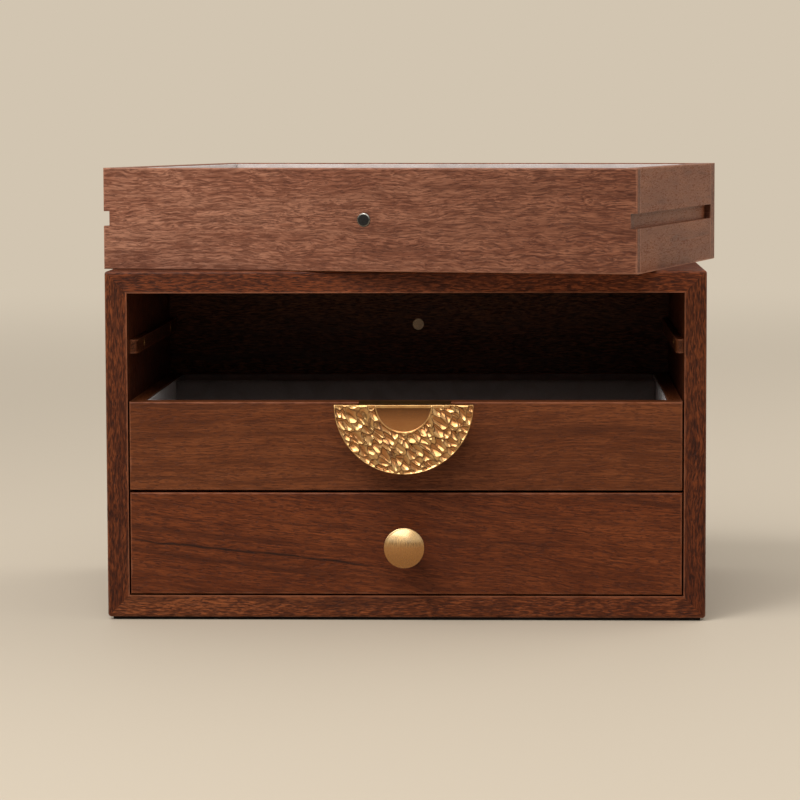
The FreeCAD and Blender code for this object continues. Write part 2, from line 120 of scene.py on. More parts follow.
class BrassSettings(bpy.types.PropertyGroup):
    """Metal of the pulls, the knob and the screws."""
    tone: paint("Brass", (206, 164, 104), "Clean lacquered brass")
    pit: paint("Brass in Dents", (160, 100, 46), "Brass at the bottom of a dent")
    # Painted shade: dark brass on the ridges between the dents and towards the dish's top
    outline: paint("Dark Brass", (96, 56, 24), "Brass along the ridges between dents")
    # Painted highlight and painted shade: the knob's upper half is pale and its lower half deep
    pale: paint("Pale Brass", (194, 162, 118), "Brushed brass of the knob's upper half")
    deep: paint("Deep Brass", (168, 118, 64), "Brushed brass of the knob's lower half")
    dent_width: size("Dent Width", 3.3 * MM, "Width of a hammer dent")
    dent_length: size("Dent Length", 6.0 * MM, "Length of a hammer dent")
    dent_depth: size("Dent Depth", 1.15 * MM, "Depth of a hammer dent")
    rim: size("Plain Rim", 0.7 * MM, "Smooth border round the hammered face")
    mesh_step: size("Face Mesh", 0.34 * MM, "Spacing of the hammered face's mesh")
    seed: IntProperty(name="Seed", default=7, min=0, description="Moves the hammer blows")


class VelvetSettings(bpy.types.PropertyGroup):
    """Pile fabric of the linings."""
    tone: paint("Velvet", (217, 206, 202), "Velvet with its pile lying flat")
    # Painted shade: how light the darker velvet is on the floor pads and the middle drawer's divider
    shade: paint("Brushed Velvet", (201, 190, 186), "Velvet brushed against its pile")
    upright: share("Upright Pile", 0.47, "How light the pads are, on which the pile stands upright")
    nap: size("Nap Patch", 16 * MM, "Size of the patches where the pile lies differently")
    pile: size("Pile", 0.45 * MM, "Size of the pile's tufts")
    ease: size("Edge Rounding", 0.9 * MM, "Rounding where the fabric goes round an edge")
    card: size("Card Thickness", 1 * MM, "Thickness of the velvet-covered card on the walls")
    step: size("Fabric Mesh", 3 * MM, "Spacing of the fabric's mesh")
    ripple: size("Unevenness", 0.12 * MM, "How far the padded surface wanders")


class StudioSettings(bpy.types.PropertyGroup):
    """Camera, lights and floor."""
    lens: number("Lens", 145.0, "Focal length in millimetres")
    camera_place: FloatVectorProperty(name="Camera", default=(0.0635, -1.7001, 0.2493), size=3,
                                      subtype="TRANSLATION", description="Camera's place")
    yaw: number("Yaw", 0.0412, "Camera's turn to the left", subtype="ANGLE")
    pitch: number("Pitch", 0.0861, "Camera's tilt down", subtype="ANGLE")
    roll: number("Roll", -0.0036, "Camera's roll", subtype="ANGLE")
    key_power: number("Key Strength", 0.65, "Strength of the distant key light")
    key_spread: number("Key Spread", math.radians(18),
                       "How wide the key light looks from the object", subtype="ANGLE")
    softbox_power: number("Softbox Power", 29.0, "Watts of the softbox above the front")
    fill_power: number("Fill Power", 9.0, "Watts of the softbox at the right, behind the front")
    floor: paint("Floor", (197, 185, 167), "Plain floor")
    backdrop: paint("Backdrop", (210, 197, 177), "What the floor fades into far away")


def chosen(name):
    """One of the groups of settings."""
    return getattr(bpy.context.scene, "jewellery_box_" + name)


# Node helpers


class Output:
    """A node's output. Arithmetic with it adds nodes, and is vector arithmetic if it is a vector
    or a colour."""

    def __init__(self, nodes, socket):
        self.nodes, self.socket = nodes, socket

    def by(self, operation, *others):
        """Adds a math node that takes this output first."""
        kind, output = "ShaderNodeMath", 0
        if self.socket.type != "VALUE":
            kind, output = "ShaderNodeVectorMath", int(operation in ("LENGTH", "DOT_PRODUCT"))
        return self.nodes.add(kind, output, enumerate((self, *others)), operation=operation)

    def after(self, operation, first):
        """Adds a math node that takes a number first and this output second."""
        return self.nodes.add("ShaderNodeMath", 0, {0: first, 1: self}, operation=operation)

    __add__ = partialmethod(by, "ADD")
    __sub__ = partialmethod(by, "SUBTRACT")
    __mul__ = partialmethod(by, "MULTIPLY")
    __truediv__ = partialmethod(by, "DIVIDE")
    __pow__ = partialmethod(by, "POWER")
    __abs__ = partialmethod(by, "ABSOLUTE")
    __rsub__ = partialmethod(after, "SUBTRACT")
    __rtruediv__ = partialmethod(after, "DIVIDE")
    at_least = partialmethod(by, "MAXIMUM")
    at_most = partialmethod(by, "MINIMUM")

    def ramp(self, low, high, start=0.0, end=1.0, way="SMOOTHSTEP"):
        """Runs from start to end as the value goes from low to high."""
        return self.nodes.add("ShaderNodeMapRange", "Result", {
            "Value": self, "From Min": low, "From Max": high, "To Min": start, "To Max": end},
            interpolation_type=way)


class Nodes:
    """Adds nodes to a tree."""

    def __init__(self, tree):
        self.tree = tree

    def join(self, value, socket):
        """Links an output to an input socket, or sets the input to a plain value. A colour has
        three channels."""
        if isinstance(value, Output):
            self.tree.links.new(value.socket, socket)
        else:
            socket.default_value = (*value, 1.0) if socket.type == "RGBA" else value

    def add(self, kind, output=0, inputs=(), **settings):
        """Adds a node with its properties and inputs. Returns one output, or one for each name
        of a tuple."""
        made = self.tree.nodes.new(kind)
        for name, value in settings.items():
            setattr(made, name, value)
        for key, value in dict(inputs).items():
            self.join(value, made.inputs[key])
        if isinstance(output, tuple):
            return [Output(self, made.outputs[name]) for name in output]
        return Output(self, made.outputs[output])

    def shared(self, name, output, values):
        """Places a shared effect."""
        return self.add("ShaderNodeGroup", output, values, node_tree=shared_group(name))

    def mix(self, factor, first, second):
        return self.add("ShaderNodeMix", 2, {0: factor, 6: first, 7: second}, data_type="RGBA")

    def xyz(self, x=0.0, y=0.0, z=0.0):
        return self.add("ShaderNodeCombineXYZ", 0, {"X": x, "Y": y, "Z": z})

    def split(self, vector):
        return self.add("ShaderNodeSeparateXYZ", ("X", "Y", "Z"), {0: vector})

    def noise(self, vector, scale, detail=2.0, roughness=0.5, output="Fac"):
        """Noise whose features are as long along each axis as one over the scale."""
        return self.add("ShaderNodeTexNoise", output, {
            "Vector": vector * scale, "Scale": 1.0, "Detail": detail, "Roughness": roughness})

    def shape(self, kind, geometry, inputs=(), **settings):
        """Adds a geometry node that works on a geometry."""
        return self.add(kind, "Geometry", {"Geometry": geometry, **dict(inputs)}, **settings)


class Group(Nodes):
    """A new node group. Its inputs are given by their defaults, or by the kinds of their
    sockets."""

    def __init__(self, name, kind, inputs, outputs):
        super().__init__(bpy.data.node_groups.new(name, kind))
        kinds = {float: "Float", int: "Int", tuple: "Vector"}
        for label, value in inputs.items():
            plain = not isinstance(value, str)
            made = self.tree.interface.new_socket(
                name=label, in_out="INPUT",
                socket_type="NodeSocket" + (kinds[type(value)] if plain else value))
            if plain:
                made.default_value = value
        for label, value in outputs.items():
            self.tree.interface.new_socket(name=label, in_out="OUTPUT",
                                           socket_type="NodeSocket" + value)
        self.given = self.tree.nodes.new("NodeGroupInput")
        self.result = self.tree.nodes.new("NodeGroupOutput")

    def __getitem__(self, label):
        return Output(self, self.given.outputs[label])

    def end(self, **values):
        for label, value in values.items():
            self.join(value, self.result.inputs[label])
        return self.tree

    def end_with_material(self, geometry):
        return self.end(Geometry=self.shape("GeometryNodeSetMaterial", geometry,
                                            {"Material": self["Material"]}))


class Finish(Nodes):
    """A new material with one Principled shader."""

    def __init__(self, name, **sockets):
        self.material = bpy.data.materials.new(name)
        self.material.use_nodes = True
        super().__init__(self.material.node_tree)
        self.shader = self.tree.nodes["Principled BSDF"]
        for key, value in sockets.items():
            self.set(key.replace("_", " "), value)

    def set(self, label, value):
        self.join(value, self.shader.inputs[label])

    def under(self, label):
        """What one of the shader's inputs has so far."""
        return Output(self, self.shader.inputs[label].links[0].from_socket)

    def coordinates(self, at=ORIGIN, turn=ORIGIN):
        """Object coordinates in a board's or drawer's own frame."""
        return self.add("ShaderNodeMapping", "Vector", {
            "Vector": self.add("ShaderNodeTexCoord", "Object"), "Location": at, "Rotation": turn},
            vector_type="TEXTURE")

    def drawer_coordinates(self, drawer):
        return self.coordinates(drawer_place(drawer).translation, (0, 0, turn_of(drawer)))

    def attribute(self, name):
        return self.add("ShaderNodeAttribute", "Fac", attribute_name=name)

    def use(self, name, depth, values):
        """Joins a shared finish to the shader."""
        tone, rough, height = self.shared(name, tuple(FINISH_OUTPUTS), values)
        self.set("Base Color", tone)
        self.set("Roughness", rough)
        self.set("Normal", self.add("ShaderNodeBump", "Normal", {
            "Height": height, "Distance": depth, "Strength": 1.0}))

    def tint(self, factor, tone):
        """Blends a colour over what the shader has."""
        self.set("Base Color", self.mix(factor, self.under("Base Color"), tone))


# Shared effects

FINISH_OUTPUTS = {"Colour": "Color", "Roughness": "Float", "Height": "Float"}
HALF = (0.5, 0.5, 0.5)


def figure_group():
    """Growth rings, fibres and pores of a board whose grain runs along X. Lengths in metres."""
    group = Group("Walnut Figure", "ShaderNodeTree", {
        "Vector": "Vector", "Heart": (0, 0.05, -0.09), "Ring Gap": 0.007, "Pore Length": 0.005,
        "Pore Width": 0.00034, "Strand Length": 0.007, "Strand Contrast": 0.5, "Curl": 0.004,
        "Pore Contrast": 0.5, "Roughness": 0.44, "Dark": "Color", "Middle": "Color",
        "Light": "Color"}, FINISH_OUTPUTS)
    point, contrast = group["Vector"], group["Strand Contrast"]
    sway = group.noise(point, (9, 30, 30), output="Color") - HALF
    bent = sway * (0.0, 0.012, 0.012) + point
    curl = group.noise(point, (70, 120, 120), 1.0, output="Color") - HALF
    curly = curl * group.xyz(0.0, group["Curl"], group["Curl"]) + bent
    radius = ((bent - group["Heart"]) * (0, 1, 1)).by("LENGTH")
    ring = (radius / group["Ring Gap"]).by("FRACT")
    late = ring.ramp(0.1, 0.8) - ring.ramp(0.86, 1.0)

    broad = group.noise(bent, (7, 55, 55), 3.0)
    cloud = group.noise(bent, (45, 90, 90))
    streak = group.noise(bent, (22, 420, 420), 4.0, 0.6)
    strand = group.noise(curly, group.xyz(1.0 / group["Strand Length"], 1250.0, 1250.0), 2.0, 0.6)
    fibre = group.noise(curly, (300, 3000, 3000), 1.0)
    across = 0.5 / group["Pore Width"]
    pits = group.noise(curly, group.xyz(1.0 / group["Pore Length"], across, across), 1.0)
    pores = (pits - late.ramp(0.0, 1.0, 0.55, 0.59)).ramp(0.0, 0.08)

    tone = broad * 0.8 + streak * 0.8 + cloud * 0.5 + ((strand - 0.5) * (contrast * 1.8) + 0.45)
    base = group.mix(tone.ramp(1.24, 1.78), group["Middle"], group["Light"])
    some_rings = group.noise(bent, (5, 90, 90), 0.0).ramp(0.5, 0.62)
    for amount in (late * 0.16 + late.ramp(0.82, 1.0) * some_rings * 0.4,
                   group.noise(bent, (14, 260, 260), 1.0).ramp(0.62, 0.78) * 0.5,
                   strand.ramp(0.3, 0.66, 1.0, 0.0) * contrast,
                   fibre.ramp(0.3, 0.7, 0.6, 0.0) * group["Pore Contrast"],
                   pores * group["Pore Contrast"]):
        base = group.mix(amount, base, group["Dark"])
    return group.end(
        Colour=base,
        Roughness=group["Roughness"] + pores * 0.2 + fibre.ramp(0.3, 0.8, 0.06, -0.04),
        Height=fibre * 0.25 + strand * 0.4 - pores)


def worn_and_highlit_edge_group():
    """How near a point on a block is to one of its edges: 1 on the edge, 0 from Width away."""
    group = Group("Worn Edges", "ShaderNodeTree", {
        "Vector": "Vector", "Middle": "Vector", "Half Size": "Vector", "Width": 0.0007},
        {"Mask": "Float"})
    point = group["Vector"]
    x, y, z = group.split(group["Half Size"] - abs(point - group["Middle"]))
    second = x.at_most(y).at_least(x.at_least(y).at_most(z))
    reach = group["Width"] * group.noise(point, (120, 120, 120)).ramp(0.3, 0.7, 0.5, 1.4)
    return group.end(Mask=(1.0 - second / reach).at_least(0.0))


def streak_group():
    """One dark streak along X round Place, with soft uneven sides. Lengths in metres."""
    group = Group("Mineral Streak", "ShaderNodeTree", {
        "Vector": "Vector", "Place": "Vector", "Length": 0.15, "Width": 0.0009},
        {"Mask": "Float"})
    offset = group["Vector"] - group["Place"]
    x, _, z = group.split(offset)
    across = abs(z + group.noise(offset, (26, 26, 26)).ramp(0.2, 0.8, -0.0012, 0.0012))
    sides = (across / group["Width"]).ramp(0.15, 1.0, 1.0, 0.0)
    ends = (abs(x) / group["Length"]).ramp(0.3, 0.5, 1.0, 0.0)
    breaks = group.noise(offset, (90, 400, 400)).ramp(0.3, 0.55, 0.55, 1.0)
    return group.end(Mask=sides * ends * breaks)


def pile_group():
    """Patches and tufts of velvet or felt. Nap and pile are lengths in metres."""
    group = Group("Pile Fabric", "ShaderNodeTree", {
        "Vector": "Vector", "Nap": 0.016, "Pile": 0.00045, "Flat": "Color", "Brushed": "Color"},
        FINISH_OUTPUTS)
    patches = group.add("ShaderNodeTexNoise", "Fac", {
        "Vector": group["Vector"], "Scale": 1.0 / group["Nap"], "Detail": 4.0, "Distortion": 0.8})
    tufts = group.add("ShaderNodeTexNoise", "Fac", {
        "Vector": group["Vector"], "Scale": 1.0 / group["Pile"], "Detail": 2.0})
    base = group.mix(patches.ramp(0.42, 0.66), group["Flat"], group["Brushed"])
    return group.end(
        Colour=group.mix(tufts.ramp(0.3, 0.7, 0.32, 0.0), base,
                         group["Brushed"] * (0.72, 0.7, 0.7)),
        Roughness=tufts.ramp(0.3, 0.7, 0.98, 0.86),
        Height=tufts + patches * 0.6)


def brushing_group():
    """Fine brush lines along X, with faint stains. Length and width are in metres."""
    group = Group("Brushed Metal", "ShaderNodeTree", {
        "Vector": "Vector", "Length": 0.01, "Width": 0.00008, "Roughness": 0.3, "Clean": "Color",
        "Stained": "Color"}, FINISH_OUTPUTS)
    across = 1.0 / group["Width"]
    lines = group.noise(group["Vector"], group.xyz(1.0 / group["Length"], across, across), 3.0)
    stain = group.noise(group["Vector"], (160, 160, 160), 4.0, 0.6)
    dull = stain.ramp(0.4, 0.75, 0.0, 0.6) + lines.ramp(0.35, 0.65, 0.0, 0.4)
    return group.end(
        Colour=group.mix(dull, group["Clean"], group["Stained"]),
        Roughness=(group["Roughness"] + lines.ramp(0.3, 0.7, -0.06, 0.1)
                   + stain.ramp(0.4, 0.8, 0.0, 0.08)),
        Height=lines)


def shared_group(name):
    """The shared effect of that name, built on its first use."""
    makers = {"Walnut Figure": figure_group, "Pile Fabric": pile_group,
              "Worn Edges": worn_and_highlit_edge_group, "Mineral Streak": streak_group,
              "Brushed Metal": brushing_group, "Hammer Dents": dent_group,
              "Ring Rolls": roll_group}
    return bpy.data.node_groups.get(name) or makers[name]()


# Places


def corners(points):
    """The low and the high corner of the box round some points."""
    axes = list(zip(*points))
    return Vector([min(axis) for axis in axes]), Vector([max(axis) for axis in axes])


def turn_of(drawer):
    return math.pi - STACK_TURN if drawer == "top_drawer" else 0.0


def drawer_place(drawer):
    """Matrix from a drawer's own frame to the row frame. The cabinet lies in the row frame."""
    if drawer not in DRAWERS:
        return Matrix()
    low, high = corners([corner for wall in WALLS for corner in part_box(drawer + "_" + wall)])
    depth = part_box("middle_drawer_back")[1].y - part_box("middle_drawer_front")[0].y
    return (Matrix.Translation(((low.x + high.x) / 2, (low.y + high.y) / 2, low.z))
            @ Matrix.Rotation(turn_of(drawer), 4, "Z") @ Matrix.Translation((0, -depth / 2, 0)))


def solids_of(node, drawer):
    """The (low, high) corners of each solid of a CAD node, in a drawer's own frame."""
    mesh = bmesh.new()
    mesh.from_mesh(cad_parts[node].data)
    bmesh.ops.remove_doubles(mesh, verts=mesh.verts, dist=0.001 * MM)
    inverse = drawer_place(drawer).inverted()
    waiting = set(mesh.verts)
    found = []
    while waiting:
        group = {waiting.pop()}
        border = list(group)
        while border:
            vert = border.pop()
            for edge in vert.link_edges:
                other = edge.other_vert(vert)
                if other not in group:
                    group.add(other)
                    border.append(other)
        waiting -= group
        found.append(corners([inverse @ vert.co for vert in group]))
    mesh.free()
    return sorted(found, key=lambda box: tuple(round(value, 6) for value in (*box[0], *box[1])))


# Mesh helpers


def linked(name, data):
    """A new object in the scene."""
    made = bpy.data.objects.new(name, data)
    bpy.context.scene.collection.objects.link(made)
    return made


def new_object(name, mesh, material):
    """Turns a bmesh into a smooth object."""
    bmesh.ops.recalc_face_normals(mesh, faces=mesh.faces)
    data = bpy.data.meshes.new(name)
    mesh.to_mesh(data)
    mesh.free()
    data.materials.append(material)
    data.shade_smooth()
    return linked(name, data)


def declare(piece, body, slot, *nodes):
    """Says which body a piece rides on and which CAD nodes it stands for."""
    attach(piece, body)
    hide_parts(*nodes)
    return piece


# Parts of a rounded edge's radius at which it has mesh lines
EDGE_LINES = (0.0, 0.12, 0.4, 1.0)


def lines_between(low, high, ease, step):
    """Mesh lines from low to high: close together in the rounded edges and a step apart between."""
    room = high - low - 2 * ease
    inner = max(1, round(room / step))
    return ([low + part * ease for part in EDGE_LINES]
            + [low + ease + room * i / inner for i in range(1, inner)]
            + [high - part * ease for part in reversed(EDGE_LINES)])


def add_block(mesh, low, high, ease, step, shape=None):
    """Adds a closed block with rounded edges to a bmesh. shape(point, share) may move its points,
    where share runs from -1 to 1 along each axis."""
    ease = min(ease, *(0.49 * (high[axis] - low[axis]) for axis in range(3)))
    lines = [lines_between(low[axis], high[axis], ease, step) for axis in range(3)]
    made = {}

    def vert(key):
        if key not in made:
            point = Vector([line[i] for line, i in zip(lines, key)])
            core = Vector([min(max(point[axis], low[axis] + ease), high[axis] - ease)
                           for axis in range(3)])
            out = point - core
            if out.length > 0:
                out = out.normalized() * ease
            rounded = core + out
            if shape:
                rounded = shape(rounded, Vector([
                    2 * (point[axis] - low[axis]) / (high[axis] - low[axis]) - 1
                    for axis in range(3)]))
            made[key] = mesh.verts.new(rounded)
        return made[key]

    last = [len(line) - 1 for line in lines]
    for axis, a, b in ((0, 1, 2), (1, 2, 0), (2, 0, 1)):
        for side in (0, last[axis]):
            for i in range(last[a]):
                for j in range(last[b]):
                    keys = []
                    for di, dj in ((0, 0), (1, 0), (1, 1), (0, 1)):
                        key = [0, 0, 0]
                        key[axis], key[a], key[b] = side, i + di, j + dj
                        keys.append(tuple(key))
                    if side == 0:
                        keys.reverse()
                    mesh.faces.new([vert(key) for key in keys])


def skin(mesh, rows, closed):
    """Joins neighbouring rows of points by faces. Rows may be closed rings."""
    for first, second in zip(rows, rows[1:]):
        count = len(first)
        for i in range(count if closed else count - 1):
            j = (i + 1) % count
            face = list(dict.fromkeys([first[i], first[j], second[j], second[i]]))
            if len(face) > 2:
                mesh.faces.new(face)


def turned_mesh(profile, segments):
    """A closed bmesh turned about Y from (radius, distance towards -Y) pairs that start and end on
    the axis."""
    mesh = bmesh.new()
    angles = [FULL_TURN * i / segments for i in range(segments)]
    rows = []
    for radius, reach in profile:
        if radius == 0.0:
            rows.append([mesh.verts.new((0, -reach, 0))] * segments)
        else:
            rows.append([mesh.verts.new((radius * math.cos(angle), -reach,
                                         radius * math.sin(angle))) for angle in angles])
    skin(mesh, rows, closed=True)
    return mesh


def wander(point, length, amount, seed):
    """A small smooth offset that is the same for the same place."""
    return amount * noise.noise(Vector((seed * 7.3, 0, seed)) + Vector(point) / length)


def run_group(piece, name, values):
    """Shapes a piece by a geometry node group, keeps the result as plain mesh and drops the
    modifier."""
    group = shared_group(name)
    modifier = piece.modifiers.new(name, "NODES")
    modifier.node_group = group
    for item in group.interface.items_tree:
        if item.item_type == "SOCKET" and item.in_out == "INPUT" and item.name in values:
            modifier[item.identifier] = values[item.name]
    evaluated = piece.evaluated_get(bpy.context.evaluated_depsgraph_get())
    data = bpy.data.meshes.new_from_object(evaluated)
    piece.modifiers.clear()
    piece.data = data


# Wood

GRAIN_ACROSS = ORIGIN
GRAIN_UP = (0.0, -QUARTER_TURN, 0.0)
GRAIN_BACK = (0.0, 0.0, QUARTER_TURN)

# Length of the wood's strands, how dark they are, how far they curl, how dark the pores are, and
# how far the tones draw together
PLAIN_FIGURE = (5 * MM, 0.74, 1.5 * MM, 0.75, 0.0)
FRONT_FIGURE = (16 * MM, 0.42, 1.0 * MM, 0.5, 0.3)
STREAKED_FIGURE = (12 * MM, 0.42, 1.2 * MM, 0.55, 0.12)
CURLY_FIGURE = (11 * MM, 0.62, 3.4 * MM, 0.5, 0.0)
QUIET_FIGURE = (40 * MM, 0.04, 0.6 * MM, 0.12, 0.3)

# How much darker some boards are in red, green and blue: mostly the boards' own tones, but the
# cabinet's right side is partly painted shade, darker because the light falls from the left
UNSHADED = (1.0, 1.0, 1.0)
BOARD_SHADES = {
    "cabinet_top": (0.9, 0.76, 0.78), "cabinet_left_side": (0.92, 0.82, 0.8),
    "cabinet_right_side": (0.9, 0.78, 0.68), "bottom_drawer_front": (0.94, 0.78, 0.64),
    "top_drawer_left_side": (0.79, 0.66, 0.5), "top_drawer_right_side": (0.79, 0.66, 0.5),
}
# Boards that change towards one end: the axis's number, and the shades at its low and high end.
# These are painted light and painted shade: the cabinet top is lighter towards its right end, where
# the lifted drawer casts its shadow, the cabinet's sides are darker towards the bottom, and the
# cabinet bottom is lighter, most towards its left end. On the lifted drawer's back, which is lighter
# towards the viewer's left, it is partly painted light and partly the wood's own tone
PAINTED_LIGHT_ENDS = {
    "cabinet_top": (0, UNSHADED, (1.5, 1.5, 1.35)),
    "top_drawer_back": (0, (0.82, 0.76, 0.74), (1.38, 1.5, 1.66)),
    "cabinet_left_side": (2, (0.88, 0.8, 0.72), (1.04, 1.02, 1.0)),
    "cabinet_right_side": (2, (0.7, 0.58, 0.5), (1.04, 1.02, 1.0)),
    "cabinet_bottom": (0, (1.4, 1.38, 1.44), (1.15, 1.0, 0.96)),
}
# The bottom front's dark streak, from the photograph: its middle, its slope, how much it covers
# and its tone as a share of the dark wood's
STREAK_PLACE = (-0.078, -0.1, 0.0345)
STREAK_SLOPE = math.radians(5.8)
STREAK_COVER, STREAK_TONE = 0.95, 0.6
# Tone of the lighter edges, partly wear and partly a painted highlight: the light wood's times this,
# plus this
EDGE_HIGHLIGHT_GAIN, EDGE_HIGHLIGHT_LIFT = 1.3, 0.03
# How far apart the boards lie in the wood that they are cut from, and the first drawer board's
# number
BOARD_STEP = Vector((0.3, 0.2, 0.1))
FIRST_DRAWER_BOARD = 20


def heart_of(index):
    """A place for the tree's heart that differs from board to board."""
    angle = 0.9 + 2.4 * index
    distance = 0.07 + 0.017 * (index % 4)
    return (0.0, distance * math.cos(angle), distance * math.sin(angle))


def walnut_material(node, drawer, index, grain, figure=PLAIN_FIGURE, tilt=0.0):
    """Walnut for one board of a drawer or the cabinet: its number, how its grain runs and how the
    wood is figured."""
    shade = BOARD_SHADES.get(node, UNSHADED)
    strand_length, strand_contrast, curl, pore_contrast, evenness = figure
    settings = chosen("walnut")
    finish = Finish("walnut " + node, Specular_IOR_Level=0.18)
    low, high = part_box(node)
    at = (low + high) / 2 + BOARD_STEP * index
    turned = (Matrix.Rotation(turn_of(drawer), 3, "Z") @ Matrix.Rotation(grain[2], 3, "Z")
              @ Matrix.Rotation(grain[1] + tilt, 3, "Y"))
    prefix = "pale_" if drawer == "top_drawer" else ""
    dark, middle, light = [Vector(getattr(settings, prefix + tone))
                           for tone in ("dark", "middle", "light")]
    vector = finish.coordinates(at, turned.to_euler())
    finish.use("Walnut Figure", settings.pore_depth, {
        "Vector": vector, "Heart": heart_of(index), "Ring Gap": settings.ring_gap,
        "Pore Length": settings.pore_length, "Pore Width": settings.pore_width,
        "Strand Length": strand_length, "Strand Contrast": strand_contrast, "Curl": curl,
        "Pore Contrast": pore_contrast, "Roughness": settings.gloss,
        "Dark": shaded(dark.lerp(middle, evenness), shade), "Middle": shaded(middle, shade),
        "Light": shaded(light.lerp(middle, evenness), shade)})
    if node == "bottom_drawer_front":
        streak = finish.shared("Mineral Streak", "Mask", {
            "Vector": vector, "Place": turned.inverted() @ (Vector(STREAK_PLACE) - at)})
        finish.tint(streak * STREAK_COVER, [STREAK_TONE * channel for channel in settings.dark])
    low, high = solids_of(node, drawer)[0]
    square = finish.drawer_coordinates(drawer)
    # Painted light and painted shade: the board grows lighter or darker towards one end
    if node in PAINTED_LIGHT_ENDS:
        axis, low_end, high_end = PAINTED_LIGHT_ENDS[node]
        along = finish.split(square)[axis].ramp(low[axis], high[axis])
        finish.set("Base Color", finish.under("Base Color") * finish.mix(along, low_end, high_end))
    # Lighter edges: partly wear, partly a painted highlight along the edges
    edge = finish.shared("Worn Edges", "Mask", {
        "Vector": square, "Middle": (low + high) / 2, "Half Size": (high - low) / 2,
        "Width": settings.edge_highlight_width})
    finish.tint(edge * settings.worn,
                [min(EDGE_HIGHLIGHT_GAIN * channel + EDGE_HIGHLIGHT_LIFT, 1.0) for channel in light])
    return finish.material


def plain_wood(name, at, turn, depth, tones, **values):
    """A plain wood in three tones, from dark to light."""
    finish = Finish(name)
    finish.use("Walnut Figure", depth, {
        "Vector": finish.coordinates(at, turn),
        **{key.replace("_", " "): value for key, value in values.items()},
        **{key: colour(*tone) for key, tone in zip(("Dark", "Middle", "Light"), tones)}})
    return finish.material


def dress(material, *nodes):
    """Puts a material on CAD nodes."""
    for node in nodes:
        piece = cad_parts[node]
        for slot in piece.material_slots:
            slot.material = material
        if not piece.material_slots:
            piece.data.materials.append(material)


class JEWELLERY_OT_cabinet_boards(bpy.types.Operator):
    """Give the cabinet's boards and runners their walnut"""
    bl_idname = "jewellery_box.cabinet_boards"
    bl_label = "Cabinet Boards"

    def execute(self, context):
        grains = {"cabinet_top": GRAIN_ACROSS, "cabinet_bottom": GRAIN_ACROSS,
                  "cabinet_left_side": GRAIN_UP, "cabinet_right_side": GRAIN_UP,
                  "cabinet_back": GRAIN_ACROSS}
        for level in ("top", "middle", "bottom"):
            for side in ("left", "right"):
                grains["%s_runner_%s" % (level, side)] = GRAIN_BACK
        for index, (node, grain) in enumerate(grains.items()):
            dress(walnut_material(node, "cabinet", index, grain), node)
        return {"FINISHED"}


class JEWELLERY_OT_drawer_boards(bpy.types.Operator):
    """Give the drawers' boards their walnut and their bottoms plain plywood"""
    bl_idname = "jewellery_box.drawer_boards"
    bl_label = "Drawer Boards"

    def execute(self, context):
        index = FIRST_DRAWER_BOARD
        for drawer in DRAWERS:
            for wall in WALLS:
                node = "%s_%s" % (drawer, wall)
                side = wall.endswith("side")
                figure, tilt = FRONT_FIGURE, 0.0
                if drawer == "top_drawer":
                    figure = QUIET_FIGURE if side else CURLY_FIGURE
                elif node == "bottom_drawer_front":
                    figure, tilt = STREAKED_FIGURE, STREAK_SLOPE
                grain = GRAIN_BACK if side else GRAIN_ACROSS
                dress(walnut_material(node, drawer, index, grain, figure, tilt), node)
                index += 1
            bottom = drawer + "_bottom"
            dress(plain_wood("birch plywood " + drawer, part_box(bottom)[0],
                             (0, 0, turn_of(drawer)), 0.05 * MM,
                             ((158, 122, 82), (202, 168, 124), (216, 186, 144)),
                             Heart=(0, 0.4, -0.5), Ring_Gap=19 * MM, Pore_Length=3 * MM,
                             Pore_Width=chosen("walnut").pore_width, Roughness=0.62), bottom)
        beech = plain_wood("beech", ORIGIN, GRAIN_BACK, 0.03 * MM,
                           ((168, 120, 82), (206, 160, 116), (216, 174, 132)),
                           Heart=(0, 0.3, -0.2), Ring_Gap=4 * MM, Pore_Length=2 * MM,
                           Pore_Width=0.2 * MM, Roughness=0.6)
        dress(beech, "mitre_splines", *(drawer + "_dowels" for drawer in DRAWERS))
        return {"FINISHED"}


# Metal


